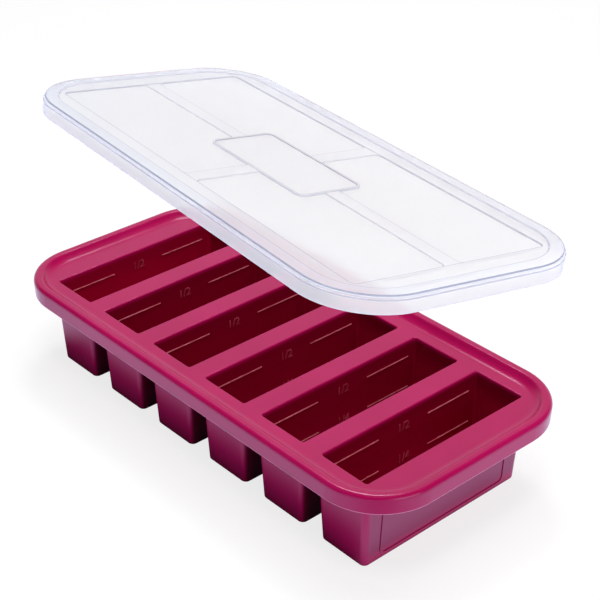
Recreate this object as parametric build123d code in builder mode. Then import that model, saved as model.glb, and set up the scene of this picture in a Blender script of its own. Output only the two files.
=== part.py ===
"""Silicone freezer tray with six portion cups, a wire in its rim and a clear press-on lid.

Millimetres, +Z up, X along the tray, Y across it. The origin is the middle of the tray's base,
on the plane that the six cups stand on.
"""

import os
from math import radians, tan

from build123d import *

# Cups and their pockets
cup_count = 6
cup_pitch = 44.6
mouth_length = 31.2
mouth_width = 110.0
wall_thickness = 2.4
floor_thickness = 3.1
draft_angle = 2.6
pocket_corner_radius = 1.2
pocket_floor_radius = 1.1
floor_radius_share = 0.92
mouth_edge_radius = 0.8
cup_corner_radius = 3.4
cup_base_radius = 1.6

# Deck and rim
deck_height = 51.5
deck_thickness = 3.0
end_margin = 13.1
side_margin = 5.8
rim_corner_radius = 35.6
rim_rise = 3.8
rim_drop = 6.5
rim_land = 5.4
rim_slope_run = 6.2
rim_foot = 7.0
rim_draft_angle = 2.5
rim_outer_radius = 2.4
rim_crease_radius = 2.2
rim_hem_radius = 0.5

# Plain frame on the end wall of the last cup
frame_width = 90.0
frame_height = 36.0
frame_base = 2.8
frame_corner_radius = 4.0
frame_line = 1.2
frame_relief = 0.4

# Wire in the rim
wire_diameter = 3.0
wire_inset = 3.3
wire_depth = 1.6
wire_clearance = 0.02

# Lid
lid_clearance = 0.5
lid_wall = 1.5
lid_skirt = 9.0
lid_shoulder = 1.0
lid_shoulder_drop = 1.9
lid_edge_radius = 0.6
lid_hem_radius = 0.3
border_width = 8.6
border_step = 0.6
step_wall = 0.8
field_end_inset = 19.5
field_side_inset = 17.2
field_corner_radius = 3.5
panel_depth = 0.7
rib_drop = 0.25
rib_width = 8.6
cross_rib_width = 10.0
label_length = 83.0
label_width = 39.0
label_corner_radius = 5.0
label_line = 1.2
label_relief = 0.4

# The lid as it is held: lifted off, near side up, turned a little
lid_place_x = -3.0
lid_place_y = 7.5
lid_lift = 91.0
lid_tilt_angle = -8.1
lid_turn_angle = -6.9

draft_share = tan(radians(draft_angle))
rim_draft_share = tan(radians(rim_draft_angle))


def rounded_loop(length, width, radius, plane):
    """A closed loop round a rounded rectangle, from the middle of its near side."""
    half_length = length / 2
    half_width = width / 2
    with BuildLine(plane) as loop:
        near = Line((0, -half_width), (half_length - radius, -half_width))
        front_near = JernArc(near @ 1, near % 1, radius, 90)
        front = Line(front_near @ 1, (half_length, half_width - radius))
        front_far = JernArc(front @ 1, front % 1, radius, 90)
        far = Line(front_far @ 1, (radius - half_length, half_width))
        back_far = JernArc(far @ 1, far % 1, radius, 90)
        back = Line(back_far @ 1, (-half_length, radius - half_width))
        back_near = JernArc(back @ 1, back % 1, radius, 90)
        Line(back_near @ 1, (0, -half_width))
    return loop.wire()


# Tray: the rim's section goes round the deck, the cups hang below, and the pockets go in from above.
cup_length = mouth_length + 2 * wall_thickness
cup_width = mouth_width + 2 * wall_thickness
cup_taper = 2 * deck_height * draft_share
pocket_depth = deck_height - floor_thickness
pocket_taper = 2 * pocket_depth * draft_share
# The radius at a pocket's floor runs into its corners, so it stays a little under theirs
floor_edge_radius = min(pocket_floor_radius, floor_radius_share * pocket_corner_radius)
cup_centres = [(index - (cup_count - 1) / 2) * cup_pitch for index in range(cup_count)]
deck_inset = rim_land + rim_slope_run
rim_length = (cup_count - 1) * cup_pitch + mouth_length + 2 * (end_margin + deck_inset)
rim_width = mouth_width + 2 * (side_margin + deck_inset)
rim_hem_inset = (rim_rise + rim_drop) * rim_draft_share
foot_draft_inset = (rim_drop - deck_thickness) * rim_draft_share

deck_plane = Plane.XY.offset(deck_height)
rim_section_plane = Plane(origin=(0, -rim_width / 2, deck_height), x_dir=(0, 1, 0), z_dir=(1, 0, 0))
rim_loop = rounded_loop(rim_length, rim_width, rim_corner_radius, deck_plane)

wire_plane = Plane.XY.offset(deck_height - wire_depth)
wire_loop = rounded_loop(
    rim_length - 2 * wire_inset,
    rim_width - 2 * wire_inset,
    rim_corner_radius - wire_inset,
    wire_plane,
)
wire_section_plane = Plane(
    origin=(0, wire_inset - rim_width / 2, deck_height - wire_depth),
    x_dir=(0, 1, 0),
    z_dir=(1, 0, 0),
)

end_wall_base_x = cup_centres[-1] + (cup_length - cup_taper) / 2
frame_middle_z = frame_base + frame_height / 2
end_wall_plane = Plane(
    origin=(end_wall_base_x + frame_middle_z * draft_share, 0, frame_middle_z),
    x_dir=(0, 1, 0),
    z_dir=(1, 0, -draft_share),
)

with BuildPart() as tray:
    # Rim: downturned band, rounded outer edge, narrow land, hollow slope down to the deck
    with BuildSketch(rim_section_plane) as rim_section:
        with BuildLine():
            band = Line((rim_hem_inset, -rim_drop), (0, rim_rise))
            land = Line(band @ 1, (rim_land, rim_rise))
            slope = TangentArc((deck_inset, 0), land @ 1, tangent=(-1, 0))
            Polyline(
                slope @ 0,
                (deck_inset, -deck_thickness),
                (rim_foot, -deck_thickness),
                (rim_foot - foot_draft_inset, -rim_drop),
                band @ 0,
            )
        make_face()
        fillet(rim_section.vertices().sort_by_distance(band @ 1)[0], rim_outer_radius)
        fillet(rim_section.vertices().sort_by_distance(land @ 1)[0], rim_crease_radius)
        fillet(rim_section.vertices().sort_by_distance(band @ 0)[0], rim_hem_radius)
    sweep(path=rim_loop)

    # Deck inside the rim
    with BuildSketch(deck_plane):
        RectangleRounded(
            rim_length - 2 * deck_inset,
            rim_width - 2 * deck_inset,
            rim_corner_radius - deck_inset,
        )
    extrude(amount=-deck_thickness)

    # Cups, narrower towards the base
    for centre in cup_centres:
        with BuildSketch(Plane((centre, 0, deck_height))):
            RectangleRounded(cup_length, cup_width, cup_corner_radius)
        with BuildSketch(Plane((centre, 0, 0))):
            RectangleRounded(cup_length - cup_taper, cup_width - cup_taper, cup_corner_radius)
        loft(ruled=True)
    fillet(tray.faces().sort_by(Axis.Z)[:cup_count].edges(), cup_base_radius)

    # Raised plain frame on the end wall
    with BuildSketch(end_wall_plane):
        RectangleRounded(frame_width, frame_height, frame_corner_radius)
        RectangleRounded(
            frame_width - 2 * frame_line,
            frame_height - 2 * frame_line,
            frame_corner_radius - frame_line,
            mode=Mode.SUBTRACT,
        )
    extrude(amount=frame_relief)

    # Pockets, open at the deck
    for centre in cup_centres:
        with BuildSketch(Plane((centre, 0, deck_height))):
            RectangleRounded(mouth_length, mouth_width, pocket_corner_radius)
        with BuildSketch(Plane((centre, 0, floor_thickness))):
            RectangleRounded(mouth_length - pocket_taper, mouth_width - pocket_taper, pocket_corner_radius)
        loft(ruled=True, mode=Mode.SUBTRACT)
    floors = tray.faces().filter_by(Axis.Z).group_by(Axis.Z)[1]
    fillet(floors.edges(), floor_edge_radius)
    deck = tray.faces().filter_by(Axis.Z).group_by(Axis.Z)[-2][0]
    fillet([edge for mouth in deck.inner_wires() for edge in mouth.edges()], mouth_edge_radius)

    # Channel that the wire fills
    with BuildSketch(wire_section_plane):
        Circle(wire_diameter / 2 + wire_clearance)
    sweep(path=wire_loop, mode=Mode.SUBTRACT)

# Rim wire: one closed ring
with BuildPart() as rim_wire:
    with BuildSketch(wire_section_plane):
        Circle(wire_diameter / 2)
    sweep(path=wire_loop)

# Lid, built on its own plane with the lower edge of its skirt at zero
lid_plane = Plane(
    Location(
        (lid_place_x, lid_place_y, deck_height + lid_lift),
        (lid_tilt_angle, 0, lid_turn_angle),
    )
)
lid_axis = Axis(lid_plane.origin, lid_plane.z_dir)
lid_inner_length = rim_length + 2 * lid_clearance
lid_inner_width = rim_width + 2 * lid_clearance
lid_inner_radius = rim_corner_radius + lid_clearance
lid_length = lid_inner_length + 2 * lid_wall
lid_width = lid_inner_width + 2 * lid_wall
lid_radius = lid_inner_radius + lid_wall
ceiling = lid_skirt - lid_wall
plateau = lid_skirt - border_step
rib_top = plateau - rib_drop
panel_top = plateau - panel_depth
field_length = lid_length - 2 * field_end_inset
field_width = lid_width - 2 * field_side_inset
panel_length = (field_length - cross_rib_width) / 2
panel_width = (field_width - rib_width) / 2
panel_pitch_x = panel_length + cross_rib_width
panel_pitch_y = panel_width + rib_width


def lid_outline(inset):
    """The lid's outline, moved in from its outer edge."""
    RectangleRounded(lid_length - 2 * inset, lid_width - 2 * inset, lid_radius - inset)


def lid_panels(growth):
    """The four panels between the ribs, cut off at the label plate."""
    with GridLocations(panel_pitch_x, panel_pitch_y, 2, 2):
        RectangleRounded(
            panel_length + 2 * growth,
            panel_width + 2 * growth,
            field_corner_radius + growth,
        )
    RectangleRounded(
        label_length - 2 * growth,
        label_width - 2 * growth,
        label_corner_radius - growth,
        mode=Mode.SUBTRACT,
    )


with BuildPart() as lid:
    # Skirt and border, with a shoulder below the top edge
    with BuildSketch(lid_plane):
        lid_outline(0)
    extrude(amount=lid_skirt - lid_shoulder_drop)
    with BuildSketch(lid_plane.offset(lid_skirt - lid_shoulder_drop)):
        lid_outline(lid_shoulder)
    extrude(amount=lid_shoulder_drop)
    ledges = lid.faces().filter_by(lid_axis).group_by(lid_axis)
    fillet(ledges[1][0].outer_wire().edges() + ledges[2].edges(), lid_edge_radius)
    with BuildSketch(lid_plane):
        lid_outline(lid_wall)
    extrude(amount=ceiling, mode=Mode.SUBTRACT)
    with BuildSketch(lid_plane.offset(ceiling)):
        lid_outline(border_width)
    extrude(amount=lid_wall, mode=Mode.SUBTRACT)

    # Plateau inside the border, a step lower
    with BuildSketch(lid_plane.offset(plateau - lid_wall)):
        lid_outline(border_width - step_wall)
    extrude(amount=lid_wall)
    with BuildSketch(lid_plane.offset(plateau - lid_wall)):
        lid_panels(0)
    extrude(amount=lid_wall, mode=Mode.SUBTRACT)

    # Four sunken panels
    with BuildSketch(lid_plane.offset(panel_top - lid_wall)):
        lid_panels(step_wall)
    extrude(amount=lid_wall)

    # Ribs and label plate, a little lower than the plateau round them
    with BuildSketch(lid_plane.offset(plateau)):
        RectangleRounded(field_length, field_width, field_corner_radius)
    extrude(amount=-rib_drop, mode=Mode.SUBTRACT)

    # Raised line round the label plate
    with BuildSketch(lid_plane.offset(rib_top)):
        RectangleRounded(label_length, label_width, label_corner_radius)
        RectangleRounded(
            label_length - 2 * label_line,
            label_width - 2 * label_line,
            label_corner_radius - label_line,
            mode=Mode.SUBTRACT,
        )
    extrude(amount=label_relief)
    hem = lid.faces().filter_by(lid_axis).group_by(lid_axis)[0]
    fillet(hem.edges(), lid_hem_radius)

os.makedirs("parts", exist_ok=True)
tray.part.label = "tray"
export_step(tray.part, "parts/tray.step")
rim_wire.part.label = "rim_wire"
export_step(rim_wire.part, "parts/rim_wire.step")
lid.part.label = "lid"
export_step(lid.part, "parts/lid.step")
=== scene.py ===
"""Silicone freezer tray with its clear lid: finishes, fill marks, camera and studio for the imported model."""

from math import cos, pi, radians, sin, tan

import bpy
from mathutils import Matrix, Vector


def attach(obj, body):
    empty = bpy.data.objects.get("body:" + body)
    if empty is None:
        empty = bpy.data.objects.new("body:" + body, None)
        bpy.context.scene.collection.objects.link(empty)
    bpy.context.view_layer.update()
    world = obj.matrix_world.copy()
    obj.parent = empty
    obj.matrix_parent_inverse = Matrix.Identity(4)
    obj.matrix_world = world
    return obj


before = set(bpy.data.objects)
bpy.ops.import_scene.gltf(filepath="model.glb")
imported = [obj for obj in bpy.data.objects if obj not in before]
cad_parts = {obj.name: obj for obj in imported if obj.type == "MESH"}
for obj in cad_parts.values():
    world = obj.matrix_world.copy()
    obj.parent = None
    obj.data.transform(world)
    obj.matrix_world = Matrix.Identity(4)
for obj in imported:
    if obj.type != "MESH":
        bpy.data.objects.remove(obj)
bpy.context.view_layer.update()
MM = 0.001

# The tray's cups, pockets and rim, which the marks and finishes follow
CUP_COUNT = 6
CUP_PITCH = 44.6 * MM
ROW_HALF = CUP_COUNT * CUP_PITCH / 2
DECK_HEIGHT = 51.5 * MM
MOUTH_LENGTH = 31.2 * MM
MOUTH_WIDTH = 110.0 * MM
MOUTH_CORNER = 1.2 * MM
DRAFT = radians(2.6)
END_WALL_PLACE = 133 * MM
END_WALL_REACH = 9 * MM
RIM_LENGTH = 303.6 * MM
RIM_WIDTH = 144.8 * MM
RIM_CORNER = 35.6 * MM
RIM_DROP = 6.5 * MM

# Fill marks: each line's depth below the deck with its figures, and its stretches on both sides of them
FILL_LINES = ((9.7 * MM, "1/2"), (28.5 * MM, "1/4"))
LINE_STRETCHES = ((-49.0 * MM, -16.8 * MM), (18.5 * MM, 49.4 * MM))
BEAD_RADIUS = 0.42 * MM
BEAD_SIDES = 10
FIGURE_HEIGHT = 7.0 * MM
FIGURE_RELIEF = 0.4 * MM
FIGURE_SINK = 0.05 * MM
FIGURE_MIDDLE = (LINE_STRETCHES[0][1] + LINE_STRETCHES[1][0]) / 2

# The lid's place as it is held, and the steps of its top
LID_ORIGIN = Vector((-3.0, 7.5, 142.5)) * MM
LID_TILT = radians(-8.1)
LID_TURN = radians(-6.9)
LID_LENGTH = 307.6 * MM
LID_WIDTH = 148.8 * MM
LID_CORNER = 37.6 * MM
BORDER_WIDTH = 8.6 * MM
FIELD_LENGTH = 268.6 * MM
FIELD_WIDTH = 114.4 * MM
FIELD_CORNER = 3.5 * MM
RIB_WIDTH = 8.6 * MM
CROSS_RIB_WIDTH = 10.0 * MM
LABEL_LENGTH = 83.0 * MM
LABEL_WIDTH = 39.0 * MM
LABEL_CORNER = 5.0 * MM

# The photograph's camera, and the point that the studio's lights are aimed at
CAMERA_AZIMUTH = radians(47.92)
CAMERA_ELEVATION = radians(30.635)
CAMERA_ROLL = radians(0.297)
CAMERA_TARGET = Vector((-19.43, 34.61, 51.5)) * MM
CAMERA_DISTANCE = 851.84 * MM
CAMERA_LENS = 90.63
CAMERA_SENSOR = 36.0
TRAY_MIDDLE = (0, 0, 0.05)


def linear(hex_colour):
    """An sRGB hex colour as linear RGBA."""
    parts = [int(hex_colour[start:start + 2], 16) / 255 for start in (1, 3, 5)]
    return [v / 12.92 if v <= 0.04045 else ((v + 0.055) / 1.055) ** 2.4 for v in parts] + [1.0]


def add(tree, kind, sockets=None, stops=(), **settings):
    """One node with its settings. Each entry of sockets is a value or another node's output, and stops are
    the (position, hex colour) pairs of a ramp."""
    made = tree.nodes.new(kind)
    for name, value in settings.items():
        setattr(made, name, value)
    for name, value in (sockets or {}).items():
        if isinstance(value, bpy.types.NodeSocket):
            tree.links.new(value, made.inputs[name])
        else:
            made.inputs[name].default_value = value
    for element, (position, colour) in zip(made.color_ramp.elements if stops else (), stops):
        element.position = position
        element.color = linear(colour)
    return made


def new_finish(name):
    """A material that has no nodes yet, and its tree."""
    finish = bpy.data.materials.new(name)
    finish.use_nodes = True
    finish.node_tree.nodes.clear()
    return finish, finish.node_tree


def outline_distance(tree, place, half_length, half_width, radius):
    """Distance from a rounded rectangle's outline round the origin, less than zero inside it."""
    reach = (half_length - radius, half_width - radius, 1.0)
    sized = add(tree, "ShaderNodeVectorMath", {0: place}, operation="ABSOLUTE").outputs[0]
    past = add(tree, "ShaderNodeVectorMath", {0: sized, 1: reach}, operation="SUBTRACT").outputs[0]
    outside = add(tree, "ShaderNodeVectorMath", {0: past, 1: (0, 0, 0)}, operation="MAXIMUM").outputs[0]
    length = add(tree, "ShaderNodeVectorMath", {0: outside}, operation="LENGTH").outputs["Value"]
    return add(tree, "ShaderNodeMath", {0: length, 1: radius}, operation="SUBTRACT").outputs[0]


def line_mask(tree, value, middle, half_width):
    """One on a line where value is near middle, fading to zero past its half width."""
    away = add(tree, "ShaderNodeMath", {0: value, 1: middle}, operation="SUBTRACT").outputs[0]
    away = add(tree, "ShaderNodeMath", {0: away}, operation="ABSOLUTE").outputs[0]
    return add(tree, "ShaderNodeMapRange", {
        "Value": away, "From Min": half_width * 0.4, "From Max": half_width, "To Min": 1.0, "To Max": 0.0,
    }, interpolation_type="SMOOTHSTEP").outputs["Result"]


def cup_position(tree, place):
    """Where a point lies: along the row, across it, from its own cup's middle, and below the deck."""
    from_end = add(tree, "ShaderNodeVectorMath", {0: place, 1: (ROW_HALF, 0, 0)}, operation="ADD").outputs[0]
    parts = add(tree, "ShaderNodeSeparateXYZ", {"Vector": from_end}).outputs
    in_cell = add(tree, "ShaderNodeMath", {
        0: parts["X"], 1: CUP_PITCH,
    }, operation="FLOORED_MODULO").outputs[0]
    from_middle = add(tree, "ShaderNodeMath", {
        0: in_cell, 1: CUP_PITCH / 2,
    }, operation="SUBTRACT").outputs[0]
    depth = add(tree, "ShaderNodeMath", {0: DECK_HEIGHT, 1: parts["Z"]}, operation="SUBTRACT").outputs[0]
    return parts["X"], parts["Y"], from_middle, depth


def inside_pockets(tree, along, across, from_middle, depth):
    """One inside the pockets: within a mouth's outline, drawn in by the draft on the way down."""
    in_mouth = add(tree, "ShaderNodeCombineXYZ", {"X": from_middle, "Y": across}).outputs["Vector"]
    mouth = outline_distance(tree, in_mouth, MOUTH_LENGTH / 2, MOUTH_WIDTH / 2, MOUTH_CORNER)
    drawn_in = add(tree, "ShaderNodeMath", {
        0: depth, 1: tan(DRAFT), 2: mouth,
    }, operation="MULTIPLY_ADD").outputs[0]
    inside = add(tree, "ShaderNodeMapRange", {
        "Value": drawn_in, "From Min": 0.4 * MM, "From Max": 1.0 * MM, "To Min": 1.0, "To Max": 0.0,
    }).outputs["Result"]
    below = add(tree, "ShaderNodeMapRange", {
        "Value": depth, "From Min": 0.2 * MM, "From Max": 3 * MM,
    }, interpolation_type="SMOOTHSTEP").outputs["Result"]
    in_row = add(tree, "ShaderNodeMath", {
        0: along, 1: ROW_HALF, 2: ROW_HALF,
    }, operation="COMPARE").outputs[0]
    deep = add(tree, "ShaderNodeMath", {0: inside, 1: below}, operation="MULTIPLY").outputs[0]
    return add(tree, "ShaderNodeMath", {0: deep, 1: in_row}, operation="MULTIPLY").outputs[0]


def between_cups(tree, along, from_middle, depth):
    """One on the outer walls of two neighbouring cups that face each other."""
    sideways = add(tree, "ShaderNodeMath", {0: from_middle}, operation="ABSOLUTE").outputs[0]
    sideways = add(tree, "ShaderNodeMath", {
        0: depth, 1: tan(DRAFT), 2: sideways,
    }, operation="MULTIPLY_ADD").outputs[0]
    facing = add(tree, "ShaderNodeMapRange", {
        "Value": sideways, "From Min": 16.4 * MM, "From Max": 17.9 * MM,
    }, interpolation_type="SMOOTHSTEP").outputs["Result"]
    under = add(tree, "ShaderNodeMapRange", {
        "Value": depth, "From Min": 4 * MM, "From Max": 8 * MM,
    }, interpolation_type="SMOOTHSTEP").outputs["Result"]
    not_ends = add(tree, "ShaderNodeMath", {
        0: along, 1: ROW_HALF, 2: ROW_HALF - CUP_PITCH / 2,
    }, operation="COMPARE").outputs[0]
    gap = add(tree, "ShaderNodeMath", {0: facing, 1: under}, operation="MULTIPLY").outputs[0]
    return add(tree, "ShaderNodeMath", {0: gap, 1: not_ends}, operation="MULTIPLY").outputs[0]


def end_walls(tree, place, depth):
    """One at both end walls, and the same less their lower, upper and side edges, where shade is painted."""
    away = add(tree, "ShaderNodeVectorMath", {0: place}, operation="ABSOLUTE").outputs[0]
    away = add(tree, "ShaderNodeSeparateXYZ", {"Vector": away}).outputs
    at_end = add(tree, "ShaderNodeMath", {
        0: away["X"], 1: END_WALL_PLACE, 2: END_WALL_REACH,
    }, operation="COMPARE").outputs[0]
    painted_end_shade = at_end
    for value, none_at, full_at in (
        (away["Y"], 56 * MM, 51 * MM),
        (away["Z"], 3 * MM, 9 * MM),
        (depth, 3 * MM, 7 * MM),
    ):
        fade = add(tree, "ShaderNodeMapRange", {
            "Value": value, "From Min": none_at, "From Max": full_at,
        }, interpolation_type="SMOOTHSTEP").outputs["Result"]
        painted_end_shade = add(tree, "ShaderNodeMath", {0: painted_end_shade, 1: fade}, operation="MULTIPLY").outputs[0]
    return at_end, painted_end_shade


def raspberry_silicone():
    """Platinum silicone, injection moulded in a lightly blasted tool: satin, a little cloudy, one strong
    colour. Inside the pockets the walls are painted redder, for light gone through it more than once."""
    finish, tree = new_finish("raspberry_silicone")
    place = add(tree, "ShaderNodeTexCoord").outputs["Object"]
    # Slow change over about 45 mm, from handling and from the wall's thickness
    cloud = add(tree, "ShaderNodeTexNoise", {
        "Vector": place, "Scale": 1 / (45 * MM), "Detail": 3.0,
    }).outputs["Fac"]
    # Tool grain of 0.2 mm, drawn at 1.1 mm so that it shows
    grain = add(tree, "ShaderNodeTexNoise", {
        "Vector": place, "Scale": 1 / (1.1 * MM), "Detail": 2.0,
    }).outputs["Fac"]
    skin_tone = add(tree, "ShaderNodeValToRGB", {"Fac": cloud}, [(0.3, "#A5074C"), (0.7, "#AF0953")])
    pocket_painted_tone = add(tree, "ShaderNodeValToRGB", {"Fac": cloud}, [(0.3, "#A0022E"), (0.7, "#A60331")])
    along, across, from_middle, depth = cup_position(tree, place)
    at_end, painted_end_shade = end_walls(tree, place, depth)

    # In the pockets, painted shade just below the deck, where less light comes through from the side,
    # and painted light on the two end walls, which have no cup behind them
    lower = add(tree, "ShaderNodeMapRange", {
        "Value": depth, "From Min": 3 * MM, "From Max": 16 * MM,
    }, interpolation_type="SMOOTHSTEP").outputs["Result"]
    pocket_painted_colour = add(tree, "ShaderNodeMix", {
        0: lower, 6: linear("#7D0222"), 7: pocket_painted_tone.outputs["Color"],
    }, data_type="RGBA").outputs[2]
    painted_end_light = add(tree, "ShaderNodeMapRange", {
        "Value": at_end, "To Min": 1.0, "To Max": 1.45,
    }).outputs["Result"]
    pocket_painted_colour = add(tree, "ShaderNodeVectorMath", {
        0: pocket_painted_colour, "Scale": painted_end_light,
    }, operation="SCALE").outputs[0]

    # Outside, painted shade: darker on the end walls, with the rim over them, and between two cups
    skin_colour = add(tree, "ShaderNodeMix", {
        0: painted_end_shade, 6: skin_tone.outputs["Color"], 7: linear("#8A0642"),
    }, data_type="RGBA").outputs[2]
    colour = add(tree, "ShaderNodeMix", {
        0: inside_pockets(tree, along, across, from_middle, depth), 6: skin_colour, 7: pocket_painted_colour,
    }, data_type="RGBA").outputs[2]
    # Painted shade on the facing walls between two cups
    colour = add(tree, "ShaderNodeMix", {
        0: between_cups(tree, along, from_middle, depth), 6: colour, 7: linear("#5C0224"),
    }, data_type="RGBA").outputs[2]

    # A painted highlight makes the rim's lower edge paler, where it catches the light
    round_rim = outline_distance(tree, place, RIM_LENGTH / 2, RIM_WIDTH / 2, RIM_CORNER)
    rim_edge_highlight = add(tree, "ShaderNodeMath", {
        0: line_mask(tree, depth, RIM_DROP, 0.7 * MM), 1: line_mask(tree, round_rim, -0.4 * MM, 0.9 * MM),
    }, operation="MULTIPLY").outputs[0]
    colour = add(tree, "ShaderNodeMix", {
        0: rim_edge_highlight, 6: colour, 7: linear("#E690B2"),
    }, data_type="RGBA").outputs[2]
    rough = add(tree, "ShaderNodeMapRange", {
        "Value": cloud, "From Min": 0.3, "From Max": 0.7, "To Min": 0.2, "To Max": 0.26,
    })
    bump = add(tree, "ShaderNodeBump", {"Height": grain, "Strength": 0.12, "Distance": 0.05 * MM})
    skin = add(tree, "ShaderNodeBsdfPrincipled", {
        "Base Color": colour,
        "Roughness": rough.outputs["Result"],
        "IOR": 1.41,
        "Specular IOR Level": 0.56,
        "Specular Tint": linear("#E6E2FF"),
        "Normal": bump.outputs["Normal"],
    })
    add(tree, "ShaderNodeOutputMaterial", {"Surface": skin.outputs["BSDF"]})
    return finish


def pale_mark_silicone(name, dull, bright):
    """The same silicone on raised marks, painted paler than the wall: a painted highlight for the light
    their tops catch."""
    finish, tree = new_finish(name)
    place = add(tree, "ShaderNodeTexCoord").outputs["Object"]
    # Wear along the marks over about 6 mm
    wear = add(tree, "ShaderNodeTexNoise", {
        "Vector": place, "Scale": 1 / (6 * MM), "Detail": 2.0,
    }).outputs["Fac"]
    colour = add(tree, "ShaderNodeValToRGB", {"Fac": wear}, [(0.35, dull), (0.65, bright)])
    rough = add(tree, "ShaderNodeMapRange", {"Value": wear, "To Min": 0.2, "To Max": 0.34})
    skin = add(tree, "ShaderNodeBsdfPrincipled", {
        "Base Color": colour.outputs["Color"], "Roughness": rough.outputs["Result"], "IOR": 1.41,
    })
    add(tree, "ShaderNodeOutputMaterial", {"Surface": skin.outputs["BSDF"]})
    return finish


def spring_wire():
    """Stainless spring wire, cold drawn: satin grey, a little uneven. It is sealed in the rim."""
    finish, tree = new_finish("drawn_stainless_wire")
    place = add(tree, "ShaderNodeTexCoord").outputs["Object"]
    # Uneven over about 0.8 mm, from drawing
    uneven = add(tree, "ShaderNodeTexNoise", {
        "Vector": place, "Scale": 1 / (0.8 * MM), "Detail": 2.0,
    }).outputs["Fac"]
    colour = add(tree, "ShaderNodeValToRGB", {"Fac": uneven}, [(0.3, "#A9AAAD"), (0.7, "#BDBEC1")])
    rough = add(tree, "ShaderNodeMapRange", {"Value": uneven, "To Min": 0.28, "To Max": 0.42})
    steel = add(tree, "ShaderNodeBsdfPrincipled", {
        "Base Color": colour.outputs["Color"], "Metallic": 1.0, "Roughness": rough.outputs["Result"],
    })
    add(tree, "ShaderNodeOutputMaterial", {"Surface": steel.outputs["BSDF"]})
    return finish


def lid_outlines(tree, flat):
    """Distances from the outlines of the lid's outer edge, border, field, label plate and four panels."""
    half_length, half_width = LID_LENGTH / 2, LID_WIDTH / 2
    edge = outline_distance(tree, flat, half_length, half_width, LID_CORNER)
    border = outline_distance(
        tree, flat, half_length - BORDER_WIDTH, half_width - BORDER_WIDTH, LID_CORNER - BORDER_WIDTH,
    )
    field = outline_distance(tree, flat, FIELD_LENGTH / 2, FIELD_WIDTH / 2, FIELD_CORNER)
    label = outline_distance(tree, flat, LABEL_LENGTH / 2, LABEL_WIDTH / 2, LABEL_CORNER)
    # One panel between the ribs, folded over to all four, and cut off by the label plate
    folded = add(tree, "ShaderNodeVectorMath", {0: flat}, operation="ABSOLUTE").outputs[0]
    in_panel = add(tree, "ShaderNodeVectorMath", {
        0: folded, 1: ((FIELD_LENGTH + CROSS_RIB_WIDTH) / 4, (FIELD_WIDTH + RIB_WIDTH) / 4, 0),
    }, operation="SUBTRACT").outputs[0]
    panel = outline_distance(
        tree, in_panel, (FIELD_LENGTH - CROSS_RIB_WIDTH) / 4, (FIELD_WIDTH - RIB_WIDTH) / 4, FIELD_CORNER,
    )
    past_label = add(tree, "ShaderNodeMath", {0: label, 1: -1.0}, operation="MULTIPLY").outputs[0]
    panel = add(tree, "ShaderNodeMath", {0: panel, 1: past_label}, operation="MAXIMUM").outputs[0]
    return edge, border, field, label, panel


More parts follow.
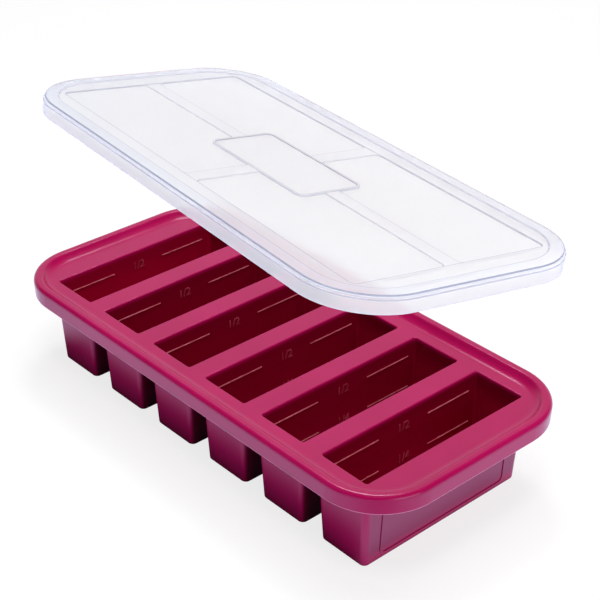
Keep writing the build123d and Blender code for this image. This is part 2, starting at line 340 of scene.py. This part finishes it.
def milky_polypropylene():
    """Clarified polypropylene, injection moulded: a milky top with a light frosting, a polished clear border
    and skirt, with painted cool grey shade along its edges, where the eye looks along the wall."""
    finish, tree = new_finish("milky_polypropylene")
    place = add(tree, "ShaderNodeTexCoord").outputs["Object"]
    turn = (Matrix.Rotation(LID_TILT, 3, "X") @ Matrix.Rotation(LID_TURN, 3, "Z")).to_euler()
    local = add(tree, "ShaderNodeMapping", {
        "Vector": place, "Location": LID_ORIGIN, "Rotation": turn,
    }, vector_type="TEXTURE").outputs["Vector"]
    height = add(tree, "ShaderNodeSeparateXYZ", {"Vector": local}).outputs["Z"]
    flat = add(tree, "ShaderNodeVectorMath", {0: local, 1: (1, 1, 0)}, operation="MULTIPLY").outputs[0]
    edge, border, field, label, panel = lid_outlines(tree, flat)

    # Paler towards one end, with a slow change over about 70 mm
    cloud = add(tree, "ShaderNodeTexNoise", {
        "Vector": local, "Scale": 1 / (70 * MM), "Detail": 2.0,
    }).outputs["Fac"]
    flow = add(tree, "ShaderNodeVectorMath", {
        0: local, 1: (0.4, 0.92, 0),
    }, operation="DOT_PRODUCT").outputs["Value"]
    flow = add(tree, "ShaderNodeMapRange", {
        "Value": flow, "From Min": -100 * MM, "From Max": 110 * MM,
    }).outputs["Result"]
    paleness = add(tree, "ShaderNodeMix", {0: 0.2, 2: flow, 3: cloud}).outputs[0]
    top_tone = add(tree, "ShaderNodeValToRGB", {"Fac": paleness}, [(0.0, "#E4E6E5"), (1.0, "#F1F1EF")])
    border_tone = add(tree, "ShaderNodeValToRGB", {"Fac": paleness}, [(0.0, "#DADEE2"), (1.0, "#F6F7F8")])

    # Border and skirt, and the painted shade lines of the moulded steps
    outer = add(tree, "ShaderNodeMapRange", {
        "Value": border, "From Min": -0.2 * MM, "From Max": 0.2 * MM,
    }).outputs["Result"]
    low = add(tree, "ShaderNodeMapRange", {
        "Value": height, "From Min": 6.8 * MM, "From Max": 7.4 * MM, "To Min": 1.0, "To Max": 0.0,
    }).outputs["Result"]
    skirt = add(tree, "ShaderNodeMath", {0: outer, 1: low}, operation="MULTIPLY").outputs[0]
    top_edge_shade = add(tree, "ShaderNodeMath", {
        0: line_mask(tree, height, 8.75 * MM, 0.5 * MM), 1: line_mask(tree, edge, -1.25 * MM, 0.6 * MM),
    }, operation="MULTIPLY").outputs[0]
    shoulder_shade = add(tree, "ShaderNodeMath", {
        0: line_mask(tree, height, 6.85 * MM, 0.4 * MM), 1: line_mask(tree, edge, 0, 0.9 * MM),
    }, operation="MULTIPLY").outputs[0]
    tone = add(tree, "ShaderNodeMix", {
        0: outer, 6: top_tone.outputs["Color"], 7: border_tone.outputs["Color"],
    }, data_type="RGBA").outputs[2]
    for mask, colour in (
        # The skirt is clearer, and painted paler for the light it lacks
        (skirt, "#FFFBEC"),
        # Painted shade lines along the moulded steps and edges
        (line_mask(tree, panel, 0, 0.42 * MM), "#C6C8CD"),
        (line_mask(tree, field, 0, 0.45 * MM), "#B4B6BD"),
        (line_mask(tree, border, 0, 0.55 * MM), "#C6C8D0"),
        (line_mask(tree, label, -0.1 * MM, 0.32 * MM), "#BFC1C7"),
        (line_mask(tree, label, -1.15 * MM, 0.32 * MM), "#A4A6AD"),
        (top_edge_shade, "#8D91A6"),
        (shoulder_shade, "#BCC1D2"),
        # A painted highlight along the hem
        (line_mask(tree, height, 0.2 * MM, 0.7 * MM), "#FFFFFF"),
    ):
        tone = add(tree, "ShaderNodeMix", {
            0: mask, 6: tone, 7: linear(colour),
        }, data_type="RGBA").outputs[2]
    clear = add(tree, "ShaderNodeMapRange", {"Value": skirt, "To Min": 0.58, "To Max": 0.4})
    gloss = add(tree, "ShaderNodeMapRange", {"Value": outer, "To Min": 0.06, "To Max": 0.03})
    wall = add(tree, "ShaderNodeBsdfPrincipled", {
        "Base Color": tone,
        "Roughness": gloss.outputs["Result"],
        "IOR": 1.49,
        "Transmission Weight": clear.outputs["Result"],
        "Subsurface Weight": 1.0,
        "Subsurface Radius": (1.0, 1.0, 1.0),
        "Subsurface Scale": 8 * MM,
    })
    add(tree, "ShaderNodeOutputMaterial", {"Surface": wall.outputs["BSDF"]})
    return finish


def line_marks(tree, bead, down, finish):
    """The stretches of one fill line, round beads half sunk in the wall."""
    marks = []
    for start, end in LINE_STRETCHES:
        line = add(tree, "GeometryNodeCurvePrimitiveLine", {
            "Start": (0, start, down), "End": (0, end, down),
        })
        swept = add(tree, "GeometryNodeCurveToMesh", {
            "Curve": line.outputs["Curve"], "Profile Curve": bead.outputs["Curve"], "Fill Caps": True,
        })
        dressed = add(tree, "GeometryNodeSetMaterial", {
            "Geometry": swept.outputs["Mesh"], "Material": finish,
        })
        marks.append(dressed.outputs["Geometry"])
    return marks


def figure_mark(tree, given, figures, down, finish):
    """The figures of one fill line, raised, closed at the back and stood against the wall."""
    letters = add(tree, "GeometryNodeStringToCurves", {
        "String": figures, "Size": given["Figure height"],
    }, align_x="CENTER", align_y="MIDDLE")
    outlines = add(tree, "GeometryNodeRealizeInstances", {"Geometry": letters.outputs["Curve Instances"]})
    face = add(tree, "GeometryNodeFillCurve", {"Curve": outlines.outputs["Geometry"]})
    raised = add(tree, "GeometryNodeExtrudeMesh", {
        "Mesh": face.outputs["Mesh"], "Offset Scale": given["Figure relief"], "Individual": False,
    })
    back = add(tree, "GeometryNodeFlipFaces", {"Mesh": face.outputs["Mesh"]})
    closed = add(tree, "GeometryNodeJoinGeometry")
    tree.links.new(raised.outputs["Mesh"], closed.inputs["Geometry"])
    tree.links.new(back.outputs["Mesh"], closed.inputs["Geometry"])
    merged = add(tree, "GeometryNodeMergeByDistance", {
        "Geometry": closed.outputs["Geometry"], "Distance": 0.001 * MM,
    })
    dressed = add(tree, "GeometryNodeSetMaterial", {
        "Geometry": merged.outputs["Geometry"], "Material": finish,
    })
    stood = add(tree, "GeometryNodeTransform", {
        "Geometry": dressed.outputs["Geometry"],
        "Translation": (-FIGURE_SINK, FIGURE_MIDDLE, down),
        "Rotation": (radians(90), 0, radians(90)),
    })
    return stood.outputs["Geometry"]


def fill_mark_tree(line_finish, figure_finish):
    """Raised fill lines and their figures on one wall of each pocket, repeated along the tray."""
    tree = bpy.data.node_groups.new("fill_marks", "GeometryNodeTree")
    shape = tree.interface
    shape.new_socket("Geometry", in_out="OUTPUT", socket_type="NodeSocketGeometry")
    inputs = {}
    for name, kind, value in (
        ("Pockets", "NodeSocketInt", CUP_COUNT),
        ("Pitch", "NodeSocketFloat", CUP_PITCH),
        ("Bead radius", "NodeSocketFloat", BEAD_RADIUS),
        ("Figure height", "NodeSocketFloat", FIGURE_HEIGHT),
        ("Figure relief", "NodeSocketFloat", FIGURE_RELIEF),
    ):
        socket = shape.new_socket(name, in_out="INPUT", socket_type=kind)
        socket.default_value = value
        inputs[name] = socket.identifier
    given = add(tree, "NodeGroupInput").outputs
    bead = add(tree, "GeometryNodeCurvePrimitiveCircle", {
        "Resolution": BEAD_SIDES, "Radius": given["Bead radius"],
    })
    marks = add(tree, "GeometryNodeJoinGeometry")
    for depth, figures in FILL_LINES:
        down = -depth / cos(DRAFT)
        made = line_marks(tree, bead, down, line_finish)
        made.append(figure_mark(tree, given, figures, down, figure_finish))
        for mark in made:
            tree.links.new(mark, marks.inputs["Geometry"])
    first_wall = CUP_PITCH / 2 - ROW_HALF - MOUTH_LENGTH / 2
    on_wall = add(tree, "GeometryNodeTransform", {
        "Geometry": marks.outputs["Geometry"],
        "Translation": (first_wall, 0, DECK_HEIGHT),
        "Rotation": (0, -DRAFT, 0),
    })
    step = add(tree, "ShaderNodeCombineXYZ", {"X": given["Pitch"]})
    row = add(tree, "GeometryNodeMeshLine", {
        "Count": given["Pockets"], "Start Location": (0, 0, 0), "Offset": step.outputs["Vector"],
    })
    repeated = add(tree, "GeometryNodeInstanceOnPoints", {
        "Points": row.outputs["Mesh"], "Instance": on_wall.outputs["Geometry"],
    })
    real = add(tree, "GeometryNodeRealizeInstances", {"Geometry": repeated.outputs["Instances"]})
    add(tree, "NodeGroupOutput", {"Geometry": real.outputs["Geometry"]})
    return tree, inputs


def from_tree(name, tree, values):
    """The tree's result as a plain mesh object at the origin."""
    holder = bpy.data.objects.new(name, bpy.data.meshes.new(name))
    bpy.context.scene.collection.objects.link(holder)
    modifier = holder.modifiers.new(name, "NODES")
    modifier.node_group = tree
    for identifier, value in values.items():
        modifier[identifier] = value
    depsgraph = bpy.context.evaluated_depsgraph_get()
    made = bpy.data.meshes.new_from_object(holder.evaluated_get(depsgraph), depsgraph=depsgraph)
    holder.modifiers.clear()
    holder.data = made
    return holder


def photo_camera():
    """The camera at the photograph's angle, distance and lens."""
    back = Vector((
        sin(CAMERA_AZIMUTH) * cos(CAMERA_ELEVATION),
        -cos(CAMERA_AZIMUTH) * cos(CAMERA_ELEVATION),
        sin(CAMERA_ELEVATION),
    ))
    right = Vector((0, 0, 1)).cross(back).normalized()
    up = back.cross(right)
    rolled_right = right * cos(CAMERA_ROLL) + up * sin(CAMERA_ROLL)
    rolled_up = up * cos(CAMERA_ROLL) - right * sin(CAMERA_ROLL)
    lens = bpy.data.cameras.new("photo_camera")
    lens.lens = CAMERA_LENS
    lens.sensor_width = CAMERA_SENSOR
    camera = bpy.data.objects.new("photo_camera", lens)
    place = Matrix((rolled_right, rolled_up, back)).transposed().to_4x4()
    place.translation = CAMERA_TARGET + back * CAMERA_DISTANCE
    camera.matrix_world = place
    bpy.context.scene.collection.objects.link(camera)
    bpy.context.scene.camera = camera


def softbox(name, place, aim, width, depth, radiance, tint="#FFFFFF", mirrored=True):
    """A rectangular soft light of even radiance, aimed at a point. Mirrored ones show in shiny surfaces."""
    light = bpy.data.lights.new(name, "AREA")
    light.shape = "RECTANGLE"
    light.size = width
    light.size_y = depth
    light.energy = radiance * pi * width * depth
    light.color = linear(tint)[:3]
    lamp = bpy.data.objects.new(name, light)
    lamp.location = place
    lamp.rotation_euler = (Vector(aim) - Vector(place)).to_track_quat("-Z", "Y").to_euler()
    lamp.visible_glossy = mirrored
    bpy.context.scene.collection.objects.link(lamp)


def looked_at(tree):
    """One for what the camera sees, straight or through clear plastic, and zero for light that lands on
    the object."""
    rays = add(tree, "ShaderNodeLightPath").outputs
    return add(tree, "ShaderNodeMath", {
        0: rays["Is Camera Ray"], 1: rays["Is Transmission Ray"],
    }, operation="MAXIMUM").outputs[0]


def surroundings():
    """An even pale room, seen white. Shiny surfaces show a white wall behind the tray and a dark room above
    it and on the camera's side."""
    world = bpy.data.worlds.new("studio")
    bpy.context.scene.world = world
    world.use_nodes = True
    tree = world.node_tree
    tree.nodes.clear()
    way = add(tree, "ShaderNodeTexCoord").outputs["Generated"]
    behind = add(tree, "ShaderNodeVectorMath", {
        0: way, 1: (-sin(CAMERA_AZIMUTH), cos(CAMERA_AZIMUTH), 0),
    }, operation="DOT_PRODUCT").outputs["Value"]
    wall = add(tree, "ShaderNodeMapRange", {
        "Value": behind, "From Min": 0.4, "From Max": 0.85, "To Min": 0.04, "To Max": 0.88,
    }, interpolation_type="SMOOTHSTEP").outputs["Result"]
    shiny = add(tree, "ShaderNodeLightPath").outputs["Is Glossy Ray"]
    level = add(tree, "ShaderNodeMix", {0: shiny, 2: 0.13, 3: wall}).outputs[0]
    room = add(tree, "ShaderNodeBackground", {"Color": linear("#E9EDFB"), "Strength": level})
    white = add(tree, "ShaderNodeBackground", {"Color": linear("#FFFFFF"), "Strength": 1.0})
    both = add(tree, "ShaderNodeMixShader", {0: looked_at(tree), 1: room.outputs[0], 2: white.outputs[0]})
    add(tree, "ShaderNodeOutputWorld", {"Surface": both.outputs["Shader"]})


def white_sweep():
    """White paper: seen white with a faint shadow. For light that lands on the object it glows instead,
    with a painted shadow close round the tray.
    """
    paper, tree = new_finish("white_sweep")
    place = add(tree, "ShaderNodeTexCoord").outputs["Object"]
    # Glow for light thrown back up, with a painted shadow: dark close round the tray and bright further out
    nearby = add(tree, "ShaderNodeVectorMath", {
        0: place, 1: (12 * MM, 4 * MM, 0),
    }, operation="ADD").outputs[0]
    away = outline_distance(tree, nearby, 130 * MM, 60 * MM, 20 * MM)
    level = add(tree, "ShaderNodeMapRange", {
        "Value": away, "From Min": 2 * MM, "From Max": 25 * MM, "To Min": 0.03, "To Max": 1.46,
    }, interpolation_type="SMOOTHSTEP").outputs["Result"]
    # A painted dark patch in the glow in front of the near corner keeps the band there dark
    to_dark_patch = add(tree, "ShaderNodeVectorMath", {
        0: place, 1: (210 * MM, -122 * MM, 0),
    }, operation="DISTANCE").outputs["Value"]
    dark_patch = add(tree, "ShaderNodeMapRange", {
        "Value": to_dark_patch, "From Min": 20 * MM, "From Max": 90 * MM, "To Min": 0.4, "To Max": 1.0,
    }, interpolation_type="SMOOTHSTEP").outputs["Result"]
    level = add(tree, "ShaderNodeMath", {0: level, 1: dark_patch}, operation="MULTIPLY").outputs[0]
    bounce_glow = add(tree, "ShaderNodeEmission", {"Color": linear("#E0E3FF"), "Strength": level})
    matt = add(tree, "ShaderNodeBsdfDiffuse", {"Color": linear("#EDEDEE")})
    glow = add(tree, "ShaderNodeEmission", {"Color": linear("#FFFFFF"), "Strength": 1.06})
    seen = add(tree, "ShaderNodeMixShader", {0: 0.75, 1: matt.outputs[0], 2: glow.outputs[0]})
    both = add(tree, "ShaderNodeMixShader", {
        0: looked_at(tree), 1: bounce_glow.outputs[0], 2: seen.outputs[0],
    })
    # Open from below, so that the cups' bases can be seen
    from_below = add(tree, "ShaderNodeNewGeometry").outputs["Backfacing"]
    gone = add(tree, "ShaderNodeBsdfTransparent")
    both = add(tree, "ShaderNodeMixShader", {
        0: from_below, 1: both.outputs["Shader"], 2: gone.outputs["BSDF"],
    })
    add(tree, "ShaderNodeOutputMaterial", {"Surface": both.outputs["Shader"]})
    return paper


def studio():
    """White floor and pale surroundings, with a large soft light above, smaller ones high behind and in
    front, and a low one on the right."""
    surroundings()
    mesh = bpy.data.meshes.new("floor")
    half = 6.0
    low = -0.05 * MM
    corners = [(-half, -half, low), (half, -half, low), (half, half, low), (-half, half, low)]
    mesh.from_pydata(corners, [], [(0, 1, 2, 3)])
    mesh.materials.append(white_sweep())
    floor = bpy.data.objects.new("floor", mesh)
    bpy.context.scene.collection.objects.link(floor)

    softbox("top_softbox", (-0.1, 0.26, 1.34), TRAY_MIDDLE, 1.0, 0.8, 4.15, tint="#FFFDF6", mirrored=False)
    softbox("back_softbox", (-0.44, 0.42, 1.2), TRAY_MIDDLE, 0.3, 0.3, 18.3)
    softbox("front_softbox", (0.35, -0.35, 1.3), TRAY_MIDDLE, 0.35, 0.35, 13.0, mirrored=False)
    softbox("right_softbox", (1.2, -0.1, 0.32), (0.1, 0, 0.04), 0.8, 0.5, 3.1)


for node_name, finish in (
    ("tray", raspberry_silicone()),
    ("rim_wire", spring_wire()),
    ("lid", milky_polypropylene()),
):
    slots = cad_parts[node_name].data.materials
    slots.clear()
    slots.append(finish)
# Clear plastic lets nearly all light through, so the lid neither shades the tray nor shows in its satin skin
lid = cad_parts["lid"]
lid.visible_shadow = lid.visible_diffuse = lid.visible_glossy = False

mark_tree, mark_inputs = fill_mark_tree(
    # The marks' pale colours are painted highlights along their tops
    pale_mark_silicone("line_mark_painted_highlight", "#CC5568", "#E07484"),
    pale_mark_silicone("figure_mark_painted_highlight", "#A83048", "#C44C60"),
)
fill_marks = from_tree("fill_marks", mark_tree, {
    mark_inputs["Pockets"]: CUP_COUNT,
    mark_inputs["Pitch"]: CUP_PITCH,
})
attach(fill_marks, "tray")

photo_camera()
studio()
bpy.context.scene.view_settings.view_transform = "Standard"
